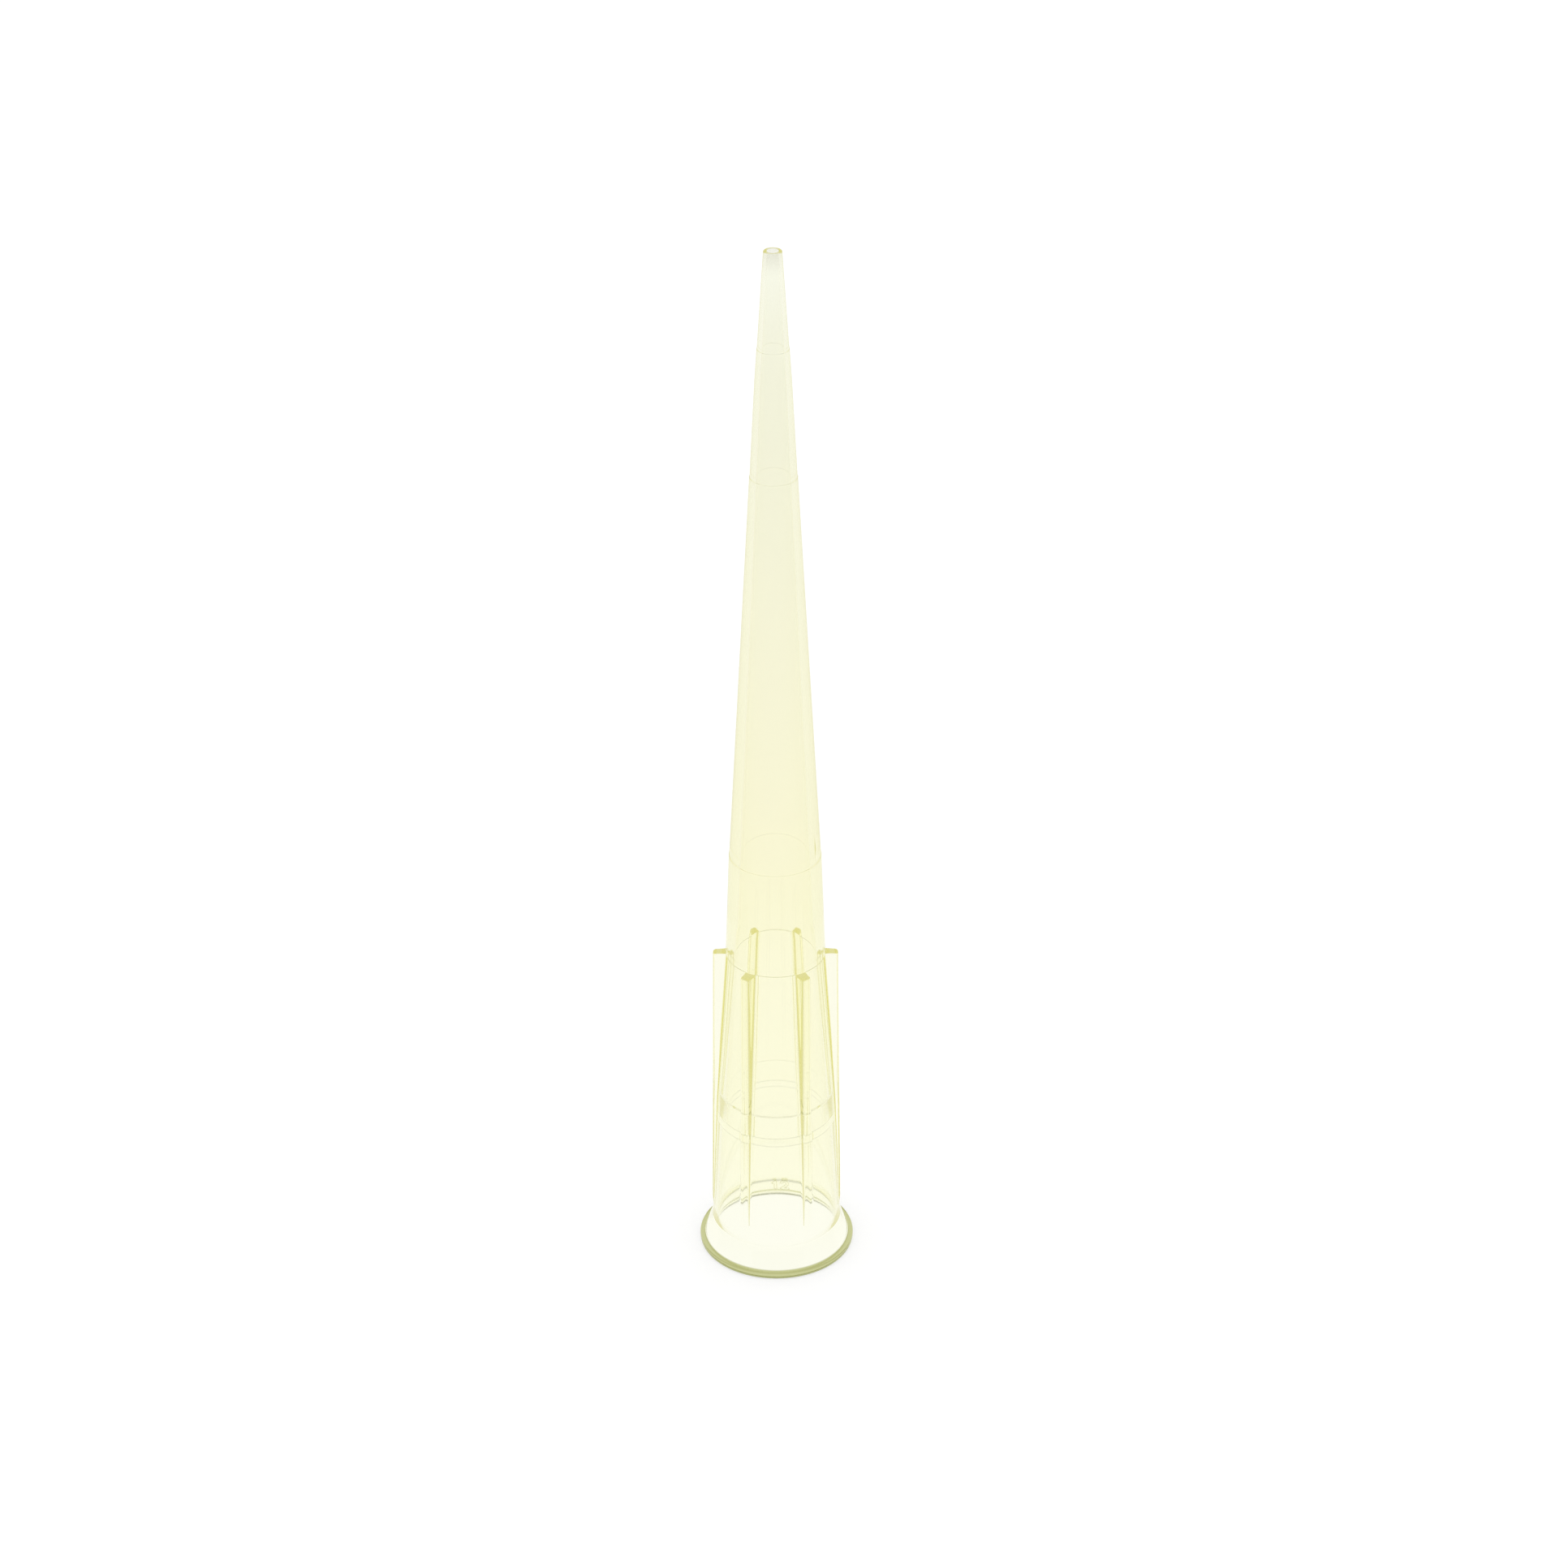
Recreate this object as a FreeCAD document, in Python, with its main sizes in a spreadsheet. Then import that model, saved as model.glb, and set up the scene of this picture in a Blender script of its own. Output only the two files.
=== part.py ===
"""Universal pipette tip, moulded in one piece, standing on its mouth with the point up.

The origin is at the centre of the mouth's end face and +Z runs up the axis to the point.
Lengths are in millimetres and angles in degrees.
"""
import FreeCAD, Part
import math
import os
import Sketcher

NODE = "pipette_tip"

# Driving dimensions: name, value, meaning.
SIZES = (
    ("tip_length", 51.0, "mouth to point"),
    ("seal_radius", 2.47, "cylindrical land that grips the pipette's shaft"),
    ("seal_height", 7.36, "mouth to the land"),
    ("seal_length", 1.14, "length of the land"),
    ("seal_ledge", 0.07, "radial step above the land"),
    ("seal_ledge_length", 0.1, "length of that step"),
    ("lead_in_step", 0.085, "radial step of the chamfer below the land"),
    ("lead_in_length", 0.4, "length of that chamfer"),
    ("mouth_draft", 0.285, "radial draft of the bore from the chamfer to the skirt"),
    ("socket_draft", 0.49, "radial draft of the bore from the land to the socket's end"),
    ("socket_setback", 0.1, "hub's top down to the socket's end"),
    ("shoulder_step", 0.125, "radial step from the socket to the chamber"),
    ("shoulder_length", 0.8, "length of that shoulder"),
    ("bend_distance", 5.85, "point down to the bend in the cone"),
    ("bend_bore_radius", 0.56, "bore at the bend"),
    ("orifice_radius", 0.25, "bore at the point"),
    ("hub_height", 16.2, "mouth to the hub's top"),
    ("hub_wall", 0.33, "hub's wall at the land and at its top"),
    ("hub_foot_wall", 0.225, "hub's wall at its foot"),
    ("parting_ledge", 0.095, "cone's overhang on the hub's top"),
    ("cone_wall", 0.545, "cone's wall at the large mark"),
    ("bend_wall", 0.25, "wall at the bend"),
    ("point_wall", 0.16, "wall at the point"),
    ("mark_step", 0.025, "radial step of each volume mark"),
    ("large_mark_rise", 5.3, "hub's top up to the large mark"),
    ("middle_mark_drop", 4.6, "bend down to the middle mark"),
    ("small_mark_rise", 1.4, "bend up to the small mark"),
    ("skirt_height", 1.5, "mouth to the hub's foot"),
    ("skirt_setback", 0.25, "hub's foot down to the same bend in the bore"),
    ("skirt_flare", 0.42, "skirt's overhang on the hub's foot, at the lip"),
    ("skirt_bend_radius", 2.0, "rounding between the hub and the skirt"),
    ("lip_height", 0.3, "height of the lip"),
    ("lip_overhang", 0.22, "lip's step out of the skirt"),
    ("lip_width", 0.31, "end face of the mouth"),
    ("edge_radius", 0.08, "rounding of the lip and the point"),
    ("rib_count", 6, "ribs round the hub"),
    ("rib_width", 0.5, "width of a rib"),
    ("rib_top_depth", 0.68, "rib's height over the hub's top"),
    ("rib_foot_depth", 0.025, "rib's height over the hub's foot"),
    ("gate_rise", 0.85, "large mark up to the gate's stub"),
    ("gate_radius", 0.3, "radius of the stub"),
    ("gate_depth", 0.08, "stub's height over the cone"),
    ("gate_angle", -20.0, "place of the stub round the axis, from +X"),
)
SHEET = "sizes"


def cell(name):
    """A driving dimension as it is written in an expression."""
    return f"{SHEET}.{name}"


def between(low, high, height):
    """Radius at a height on the straight line through two (radius, height) corners."""
    low_radius, low_height = low
    high_radius, high_height = high
    share = f"({height} - {low_height}) / ({high_height} - {low_height})"
    return f"({low_radius} + ({high_radius} - {low_radius}) * {share})"


# Heights, from the mouth up.
TOP = cell("tip_length")
HUB_TOP = cell("hub_height")
HUB_FOOT = cell("skirt_height")
BORE_FOOT = f"({HUB_FOOT} - {cell('skirt_setback')})"
LAND_START = cell("seal_height")
LAND_END = f"({LAND_START} + {cell('seal_length')})"
LAND_MIDDLE = f"({LAND_START} + {cell('seal_length')} / 2)"
LEDGE_END = f"({LAND_END} + {cell('seal_ledge_length')})"
LEAD_IN_START = f"({LAND_START} - {cell('lead_in_length')})"
SOCKET_END = f"({HUB_TOP} - {cell('socket_setback')})"
CHAMBER_START = f"({SOCKET_END} + {cell('shoulder_length')})"
BEND = f"({TOP} - {cell('bend_distance')})"
LARGE_MARK = f"({HUB_TOP} + {cell('large_mark_rise')})"
MIDDLE_MARK = f"({BEND} - {cell('middle_mark_drop')})"
SMALL_MARK = f"({BEND} + {cell('small_mark_rise')})"
GATE = f"({LARGE_MARK} + {cell('gate_rise')})"

# Radii of the bore, worked outwards from the land.
LAND_RADIUS = cell("seal_radius")
LEAD_IN_RADIUS = f"({LAND_RADIUS} + {cell('lead_in_step')})"
BORE_FOOT_RADIUS = f"({LEAD_IN_RADIUS} + {cell('mouth_draft')})"
LEDGE_RADIUS = f"({LAND_RADIUS} - {cell('seal_ledge')})"
SOCKET_END_RADIUS = f"({LEDGE_RADIUS} - {cell('socket_draft')})"
CHAMBER_RADIUS = f"({SOCKET_END_RADIUS} - {cell('shoulder_step')})"
CHAMBER_FOOT = (CHAMBER_RADIUS, CHAMBER_START)
CHAMBER_BEND = (cell("bend_bore_radius"), BEND)

# Radii of the outside: the bore's and a wall.
HUB_FOOT_RADIUS = f"({BORE_FOOT_RADIUS} + {cell('hub_foot_wall')})"
HUB_MIDDLE_RADIUS = f"({LAND_RADIUS} + {cell('hub_wall')})"
HUB_TOP_RADIUS = f"({SOCKET_END_RADIUS} + {cell('hub_wall')})"
CONE_FOOT_RADIUS = f"({HUB_TOP_RADIUS} + {cell('parting_ledge')})"
SKIRT_RADIUS = f"({HUB_FOOT_RADIUS} + {cell('skirt_flare')})"
LIP_RADIUS = f"({SKIRT_RADIUS} + {cell('lip_overhang')})"
MOUTH_RADIUS = f"({LIP_RADIUS} - {cell('lip_width')})"
POINT_RADIUS = f"({cell('orifice_radius')} + {cell('point_wall')})"
LARGE_MARK_RADIUS = f"({between(CHAMBER_FOOT, CHAMBER_BEND, LARGE_MARK)} + {cell('cone_wall')})"
CONE_FOOT = (CONE_FOOT_RADIUS, HUB_TOP)
CONE_MARK = (LARGE_MARK_RADIUS, LARGE_MARK)
CONE_BEND = (f"({cell('bend_bore_radius')} + {cell('bend_wall')})", BEND)
CONE_POINT = (POINT_RADIUS, TOP)
RIB_TOP_RADIUS = f"({HUB_TOP_RADIUS} + {cell('rib_top_depth')})"
RIB_FOOT_RADIUS = f"({HUB_FOOT_RADIUS} + {cell('rib_foot_depth')})"
GATE_RADIUS = f"({between(CONE_MARK, CONE_BEND, GATE)} + {cell('gate_depth')})"

# Each rounding is held under a third of the wall that it is on.
POINT_ROUND = f"min({cell('edge_radius')}; {cell('point_wall')} / 3)"
LIP_ROUND = f"min({cell('edge_radius')}; {cell('lip_overhang')} / 2; {cell('lip_height')} / 3)"

# Zero in an outline, and the sketcher's numbers for a curve's places and the sketch's axes.
ZERO = "0"
START = 1
END = 2
CENTRE = 3
ORIGIN = (-1, 1)
X_LINE = -1
Y_LINE = -2


def stepped_mark(corner):
    """The two corners of a volume mark: the cone's surface steps in above it."""
    radius, height = corner
    return [corner, (f"({radius} - {cell('mark_step')})", height)]


def outside_corners():
    """Outline of the tip without its bore and ribs, from the mouth round to the point."""
    return [
        (ZERO, ZERO),
        (LIP_RADIUS, ZERO),
        (LIP_RADIUS, cell("lip_height")),
        (SKIRT_RADIUS, cell("lip_height")),
        (HUB_FOOT_RADIUS, HUB_FOOT, cell("skirt_bend_radius")),
        (HUB_MIDDLE_RADIUS, LAND_MIDDLE),
        (HUB_TOP_RADIUS, HUB_TOP),
        CONE_FOOT,
        *stepped_mark(CONE_MARK),
        *stepped_mark((between(CONE_MARK, CONE_BEND, MIDDLE_MARK), MIDDLE_MARK)),
        CONE_BEND,
        *stepped_mark((between(CONE_BEND, CONE_POINT, SMALL_MARK), SMALL_MARK)),
        CONE_POINT,
        (ZERO, TOP),
    ]


def bore_corners():
    """Outline of the bore: flared mouth, socket with its land, chamber and orifice."""
    return [
        (ZERO, ZERO),
        (MOUTH_RADIUS, ZERO),
        (BORE_FOOT_RADIUS, BORE_FOOT),
        (LEAD_IN_RADIUS, LEAD_IN_START),
        (LAND_RADIUS, LAND_START),
        (LAND_RADIUS, LAND_END),
        (LEDGE_RADIUS, LEDGE_END),
        (SOCKET_END_RADIUS, SOCKET_END),
        CHAMBER_FOOT,
        CHAMBER_BEND,
        (cell("orifice_radius"), TOP),
        (ZERO, TOP),
    ]


def make_sheet(doc):
    """Spreadsheet of the driving dimensions, one to a row."""
    sheet = doc.addObject("Spreadsheet::Sheet", SHEET)
    for row, (name, value, meaning) in enumerate(SIZES, start=1):
        sheet.set(f"A{row}", name)
        sheet.set(f"B{row}", str(value))
        sheet.set(f"C{row}", meaning)
        sheet.setAlias(f"B{row}", name)
    doc.recompute()
    return sheet


def value_of(sheet, expression):
    """What an expression is worth now, as a plain number."""
    return float(sheet.evalExpression(expression))


def origin_feature(body, role):
    """The body's own origin plane or axis with this role."""
    return next(feature for feature in body.Origin.OriginFeatures if feature.Role == role)


def add_sketch(body, name, role):
    """Empty sketch on one of the body's origin planes."""
    sketch = body.newObject("Sketcher::SketchObject", name)
    sketch.AttachmentSupport = (origin_feature(body, role), [""])
    sketch.MapMode = "FlatFace"
    return sketch


def bind(sketch, sheet, kind, places, expression):
    """Add a dimension between sketch places and tie it to an expression."""
    value = value_of(sheet, expression)
    index = sketch.addConstraint(Sketcher.Constraint(kind, *places, value))
    sketch.setExpression(f"Constraints[{index}]", expression)


def add_outline(body, sheet, name, corners):
    """Closed outline through (radius, height) corners, on the XZ plane.

    A corner with a third value is rounded to that radius.
    """
    sketch = add_sketch(body, name, "XZ_Plane")
    points = [
        FreeCAD.Vector(value_of(sheet, radius), value_of(sheet, height), 0)
        for radius, height, *_ in corners
    ]
    bends = [
        bend_at(points, index, value_of(sheet, corner[2]) if len(corner) > 2 else 0)
        for index, corner in enumerate(corners)
    ]
    for line, (_, _, departure) in enumerate(bends):
        arrival = bends[(line + 1) % len(bends)][0]
        sketch.addGeometry(Part.LineSegment(departure, arrival), False)
    for line, (radius, height, *rounding) in enumerate(corners):
        before = (line - 1) % len(corners)
        if rounding:
            arc, place = round_corner(sketch, before, line, points[line], bends[line])
            bind(sketch, sheet, "Radius", (arc,), *rounding)
        else:
            sketch.addConstraint(Sketcher.Constraint("Coincident", before, END, line, START))
            place = (line, START)
        if radius == ZERO:
            sketch.addConstraint(Sketcher.Constraint("PointOnObject", *place, Y_LINE))
        else:
            bind(sketch, sheet, "DistanceX", (*ORIGIN, *place), radius)
        if height == ZERO:
            sketch.addConstraint(Sketcher.Constraint("PointOnObject", *place, X_LINE))
        else:
            bind(sketch, sheet, "DistanceY", (*ORIGIN, *place), height)
    return sketch


def bend_at(points, index, radius):
    """Start, centre and end of the arc that rounds one corner of a closed outline."""
    corner = points[index]
    back = (points[index - 1] - corner).normalize()
    ahead = (points[(index + 1) % len(points)] - corner).normalize()
    half_angle = back.getAngle(ahead) / 2
    reach = radius / math.tan(half_angle)
    inward = (back + ahead).normalize() if radius else back
    centre = corner + inward * (radius / math.sin(half_angle))
    return corner + back * reach, centre, corner + ahead * reach


def round_corner(sketch, before, after, corner, bend):
    """Join two lines by a tangent arc; return it and the point where they would have met."""
    arrival, centre, departure = bend
    turns_left = (arrival - centre).cross(departure - centre).z > 0
    ends = (arrival, departure) if turns_left else (departure, arrival)
    first, last = (START, END) if turns_left else (END, START)
    from_angle, to_angle = (math.atan2(end.y - centre.y, end.x - centre.x) for end in ends)
    if to_angle < from_angle:
        to_angle += 2 * math.pi
    circle = Part.Circle(centre, FreeCAD.Vector(0, 0, 1), arrival.distanceToPoint(centre))
    arc = sketch.addGeometry(Part.ArcOfCircle(circle, from_angle, to_angle), False)
    meeting = sketch.addGeometry(Part.Point(corner), True)
    sketch.addConstraint(Sketcher.Constraint("Tangent", before, END, arc, first))
    sketch.addConstraint(Sketcher.Constraint("Tangent", arc, last, after, START))
    sketch.addConstraint(Sketcher.Constraint("PointOnObject", meeting, START, before))
    sketch.addConstraint(Sketcher.Constraint("PointOnObject", meeting, START, after))
    return arc, (meeting, START)


def ring_edge(feature, sheet, radius, height):
    """Name of the whole circular edge that has this radius at this height."""
    wanted_radius = value_of(sheet, radius)
    wanted_height = value_of(sheet, height)
    for number, edge in enumerate(feature.Shape.Edges, start=1):
        curve = edge.Curve
        if not isinstance(curve, Part.Circle) or not edge.isClosed():
            continue
        same_radius = math.isclose(curve.Radius, wanted_radius, abs_tol=1e-4)
        if same_radius and math.isclose(curve.Center.z, wanted_height, abs_tol=1e-4):
            return f"Edge{number}"
    raise ValueError(f"{feature.Name} has no edge of radius {wanted_radius}")


def round_edges(body, sheet, name, rings, radius):
    """Fillet the circular edges at some (radius, height) places of the body's last feature."""
    base = body.Tip
    body.Document.recompute()
    fillet = body.newObject("PartDesign::Fillet", name)
    fillet.Base = (base, [ring_edge(base, sheet, *ring) for ring in rings])
    fillet.setExpression("Radius", radius)
    body.Tip = fillet


def add_outside(body, sheet):
    """Solid of revolution of the whole outline."""
    revolution = body.newObject("PartDesign::Revolution", "outside")
    profile = add_outline(body, sheet, "outside_outline", outside_corners())
    revolution.Profile = profile
    revolution.ReferenceAxis = (profile, ["V_Axis"])
    revolution.Angle = 360
    body.Tip = revolution


def rib_corners():
    """Outline of a rib from the axis out: flat at the hub's top, lost in the skirt below."""
    return [
        (ZERO, BORE_FOOT),
        (RIB_FOOT_RADIUS, BORE_FOOT),
        (RIB_TOP_RADIUS, HUB_TOP),
        (ZERO, HUB_TOP),
    ]


def add_ribs(body, sheet):
    """Ribs round the hub, tapering with it."""
    outline = add_outline(body, sheet, "rib_outline", rib_corners())
    rib = body.newObject("PartDesign::Pad", "rib")
    rib.Profile = outline
    rib.SideType = "Symmetric"
    rib.setExpression("Length", cell("rib_width"))
    ribs = body.newObject("PartDesign::PolarPattern", "ribs")
    ribs.Originals = [rib]
    ribs.Axis = (origin_feature(body, "Z_Axis"), [""])
    ribs.Angle = 360
    ribs.setExpression("Occurrences", cell("rib_count"))
    body.Tip = ribs


def add_gate(body, sheet):
    """Low round stub on the cone where the plastic entered the mould."""
    sketch = add_sketch(body, "gate_outline", "YZ_Plane")
    turned_by = f"{cell('gate_angle')} * 1 deg"
    sketch.setExpression(
        "AttachmentOffset",
        f"placement(vector(0; 0; 0); rotation(vector(0; 1; 0); {turned_by}))")
    centre = FreeCAD.Vector(0, value_of(sheet, GATE), 0)
    circle = Part.Circle(centre, FreeCAD.Vector(0, 0, 1), value_of(sheet, cell("gate_radius")))
    outline = sketch.addGeometry(circle, False)
    sketch.addConstraint(Sketcher.Constraint("PointOnObject", outline, CENTRE, Y_LINE))
    bind(sketch, sheet, "DistanceY", (*ORIGIN, outline, CENTRE), GATE)
    bind(sketch, sheet, "Radius", (outline,), cell("gate_radius"))
    gate = body.newObject("PartDesign::Pad", "gate")
    gate.Profile = sketch
    gate.setExpression("Length", GATE_RADIUS)
    body.Tip = gate


def cut_bore(body, sheet):
    """Bore right through the tip, turned out after the ribs so that it clears them."""
    solid = body.Tip
    groove = body.newObject("PartDesign::Groove", "bore")
    profile = add_outline(body, sheet, "bore_outline", bore_corners())
    groove.Profile = profile
    groove.ReferenceAxis = (profile, ["V_Axis"])
    groove.Angle = 360
    body.Tip = groove
    body.Document.recompute()
    orifice_area = math.pi * value_of(sheet, cell("orifice_radius")) ** 2
    if solid.Shape.Volume - groove.Shape.Volume < orifice_area * value_of(sheet, TOP):
        raise ValueError("the bore does not go through")


def make_tip(doc, sheet):
    """The whole tip as one body."""
    body = doc.addObject("PartDesign::Body", NODE)
    body.Label = NODE
    add_outside(body, sheet)
    add_ribs(body, sheet)
    add_gate(body, sheet)
    cut_bore(body, sheet)
    lip_rings = [(LIP_RADIUS, ZERO), (LIP_RADIUS, cell("lip_height")), (MOUTH_RADIUS, ZERO)]
    round_edges(body, sheet, "lip_edges", lip_rings, LIP_ROUND)
    round_edges(body, sheet, "point_edge", [(POINT_RADIUS, TOP)], POINT_ROUND)
    body.Placement = FreeCAD.Placement()
    return body


def check(doc, bodies):
    """Stop before anything is written if a feature failed or a shape is not one solid."""
    for item in doc.Objects:
        if "Invalid" in item.State or "Error" in item.State:
            raise ValueError(f"{item.Name} failed: {item.State}")
    for body in bodies:
        shape = body.Shape
        if shape.isNull() or not shape.isValid() or len(shape.Solids) != 1:
            raise ValueError(f"{body.Label} is not one valid solid")


def main():
    doc = FreeCAD.newDocument("pipette_tip_model")
    sheet = make_sheet(doc)
    bodies = [make_tip(doc, sheet)]
    doc.recompute()
    check(doc, bodies)
    os.makedirs("parts", exist_ok=True)
    for body in bodies:
        body.Shape.exportStep(os.path.join("parts", f"{body.Label}.step"))
        box = body.Shape.optimalBoundingBox(False)
        print(body.Label, f"{body.Shape.Volume:.3f} mm3",
              f"{box.XLength:.3f} x {box.YLength:.3f} x {box.ZLength:.3f} mm")


main()
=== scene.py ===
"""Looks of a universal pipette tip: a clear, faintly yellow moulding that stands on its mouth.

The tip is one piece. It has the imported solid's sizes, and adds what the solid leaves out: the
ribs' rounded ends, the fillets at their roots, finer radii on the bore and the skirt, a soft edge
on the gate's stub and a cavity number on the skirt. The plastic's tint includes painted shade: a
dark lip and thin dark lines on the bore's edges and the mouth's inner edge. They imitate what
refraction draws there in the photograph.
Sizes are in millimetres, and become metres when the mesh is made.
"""
import math

import bmesh
import bpy
from mathutils import Matrix, Vector


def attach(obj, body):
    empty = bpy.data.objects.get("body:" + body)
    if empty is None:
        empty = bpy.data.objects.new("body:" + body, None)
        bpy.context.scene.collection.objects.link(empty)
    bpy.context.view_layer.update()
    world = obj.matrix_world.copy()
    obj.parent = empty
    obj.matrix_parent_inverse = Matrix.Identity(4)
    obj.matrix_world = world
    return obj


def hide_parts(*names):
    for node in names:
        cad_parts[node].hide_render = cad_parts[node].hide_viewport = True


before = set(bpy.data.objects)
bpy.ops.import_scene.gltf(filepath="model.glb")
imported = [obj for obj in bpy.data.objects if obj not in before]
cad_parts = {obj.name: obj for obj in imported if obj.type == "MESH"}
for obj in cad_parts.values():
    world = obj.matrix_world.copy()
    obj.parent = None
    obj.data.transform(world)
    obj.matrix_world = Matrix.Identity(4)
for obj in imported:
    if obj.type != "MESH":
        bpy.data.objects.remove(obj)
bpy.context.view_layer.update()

NODE = "pipette_tip"
MM = 0.001

# The whole tip.
TIP_LENGTH = 51.0
HUB_TOP = 16.2
HUB_FOOT = 1.5
BORE_FOOT = 1.25
EDGE_ROUND = 0.08

# The bore, from the mouth to the point: corners as (radius, height).
MOUTH_RADIUS = 3.395
BORE_FOOT_RADIUS = 2.84
LEAD_IN = (2.555, 6.96)
LAND_START = (2.47, 7.36)
LAND_END = (2.47, 8.50)
LEDGE_END = (2.40, 8.60)
SOCKET_END = (1.91, 16.10)
CHAMBER_FOOT = (1.785, 16.90)
CHAMBER_BEND = (0.56, 45.15)
ORIFICE_RADIUS = 0.25
BORE_FOOT_ROUND = 0.25
LEAD_IN_ROUND = 0.05
LEDGE_ROUND = 0.03
# The shoulder between socket and chamber is blended, over this height at each end.
SHOULDER_BLEND = 1.2
SHOULDER_ROUND = 8.0

# The outside: radii, heights, and corners as (radius, height).
LIP_RADIUS = 3.705
LIP_HEIGHT = 0.30
LIP_TOP_ROUND = 0.02
SKIRT_RADIUS = 3.485
SKIRT_BEND_ROUND = 2.0
HUB_FOOT_RADIUS = 3.065
HUB_MIDDLE = (2.80, 7.93)
HUB_TOP_RADIUS = 2.24
CONE_FOOT_RADIUS = 2.335
CONE_FOOT_ROUND = 0.015
CONE_WALL = 0.545
LARGE_MARK = 21.5
MIDDLE_MARK = 40.55
SMALL_MARK = 46.55
MARK_STEP = 0.013
MARK_ROUND = 0.01
CONE_BEND = (0.81, 45.15)
POINT_RADIUS = 0.41
POINT_ROUND = 0.05
ORIFICE_ROUND = 0.03

# The ribs. Their crests run from the foot radius up to the top radius.
RIB_COUNT = 6
RIB_HALF_WIDTH = 0.25
RIB_TOP_RADIUS = 2.92
RIB_FOOT_RADIUS = 3.09
RIB_CREST_LINE = ((RIB_FOOT_RADIUS, BORE_FOOT), (RIB_TOP_RADIUS, HUB_TOP))
# A rib starts at this height, and reaches its least depth over the fade.
RIB_END = 2.3
RIB_FADE = 0.6
RIB_FOOT_DEPTH = 0.03
# Rounding of a rib's crest and its fillets, no more than a share of its depth.
CREST_ROUND = 0.18
CREST_SHARE = 0.6
LEAST_CREST_ROUND = 0.01
ROOT_ROUND = 0.11
ROOT_SHARE = 0.45
LEAST_ROOT_ROUND = 0.004
# Rounding of a rib's top edge. One ring lies just under it, and the hub's others end further down.
RIB_TOP_ROUND = 0.07
RIB_TOP_SUPPORT = 1.5 * RIB_TOP_ROUND
RIB_TOP_REACH = 2 * RIB_TOP_ROUND
# On a ring without ribs, a rib's columns span this many times the angle between its seams.
ROOT_SPREAD = 1.5

# The gate's stub.
GATE_HEIGHT = 22.45
GATE_RADIUS = 0.22
GATE_DEPTH = 0.07
GATE_ANGLE = -26.5
GATE_EDGE = 0.10
GATE_HOLLOW = 0.05
GATE_HOLLOW_RADIUS = 0.5 * GATE_RADIUS
GATE_REACH = (0.3, 0.3)

# The cavity number on the skirt's back, a plain 12, as lines through (across, up) points.
NUMBER_ANGLE = 86.0
NUMBER_HEIGHT = 0.77
NUMBER_LINES = (
    ((0.30, -0.30), (0.30, 0.30), (0.42, 0.18)),
    ((-0.02, 0.20), (-0.10, 0.30), (-0.26, 0.30), (-0.34, 0.18), (-0.32, 0.04),
     (-0.02, -0.30), (-0.36, -0.30)),
)
NUMBER_STROKE = 0.08
NUMBER_EDGE = 0.035
NUMBER_DEPTH = 0.08
NUMBER_REACH = (0.6, 0.42)

# The plastic: refraction, and absorption per metre.
PLASTIC_IOR = 1.49
ABSORPTION_COLOUR = (0.958, 0.944, 0.50)
ABSORPTION_DENSITY = 360.0
# The plastic's tint on its way in or out, at a share of the tip's height.
PLASTIC_TINTS = (
    (0.00, (0.998, 0.998, 0.905)),
    (0.30, (0.996, 0.990, 0.900)),
    (0.45, (0.985, 0.975, 0.900)),
    (0.85, (0.950, 0.950, 0.880)),
    (0.93, (0.955, 0.958, 0.895)),
    (0.98, (0.972, 0.978, 0.930)),
    (1.00, (0.880, 0.880, 0.830)),
)
# The lip's painted shade: a dark tint for the shade that refraction in the thick rim draws. Each
# fade is the radii or heights where it starts and is full.
LIP_PAINTED_SHADE = (0.34, 0.36, 0.115)
LIP_SIDE_FADE = (SKIRT_RADIUS - 0.05, SKIRT_RADIUS - 0.03)
LIP_TOP_FADE = (LIP_HEIGHT + 0.09, LIP_HEIGHT + 0.01)
# Painted shade that darkens the lip's foot further.
LIP_FOOT_PAINTED_SHADE = (0.52, 0.56, 0.46)
LIP_FOOT_FADE = (0.20, 0.08)
# The painted shade on its end face, which rays leave by: the middle of a ring and half its width.
LIP_END_PAINTED_SHADE = (0.68, 0.68, 0.54)
LIP_END_MIDDLE = 3.43
LIP_END_HALF_WIDTH = 0.10
LIP_END_FADE = (0.05, 0.02)
# The painted shade line of the mouth's inner edge.
MOUTH_LINE_PAINTED_SHADE = (0.17, 0.18, 0.14)
MOUTH_SIDE_FADE = (MOUTH_RADIUS + 0.05, MOUTH_RADIUS + 0.02)
MOUTH_LINE_FADE = (0.22, 0.12)
# Painted shade lines for the dark lines that the bore's edges draw by refraction: height, half its
# width, tint, only for rays on their way in.
BORE_PAINTED_SHADE_LINES = (
    ((LAND_END[1] + LEDGE_END[1]) / 2, 0.06, (0.80, 0.80, 0.77), False),
    (LAND_START[1], 0.05, (0.70, 0.71, 0.68), False),
    (LEAD_IN[1], 0.05, (0.74, 0.74, 0.72), False),
    (BORE_FOOT, 0.14, (0.40, 0.41, 0.38), True),
)
# The middle of the hub's wall: its radius at the foot, and how that changes with the height.
WALL_FOOT = 3.02
WALL_SLOPE = -0.0576

# The surface: flow lines up the moulding, and soft patches of gloss. Scales are per metre.
FLOW_SCALE = 2500.0
FLOW_DETAIL = 3.0
FLOW_STRETCH = 0.04
FLOW_STRENGTH = 0.02
FLOW_HEIGHT = 0.00001
PATCH_SCALE = 700.0
PATCH_DETAIL = 2.0
PATCH_RANGE = (0.3, 0.7)
ROUGHNESS = (0.035, 0.075)

# Light that turned back or bounced more often than this goes straight on.
MOST_TURNS = 2.5
MOST_BOUNCES = 9.0
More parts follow.
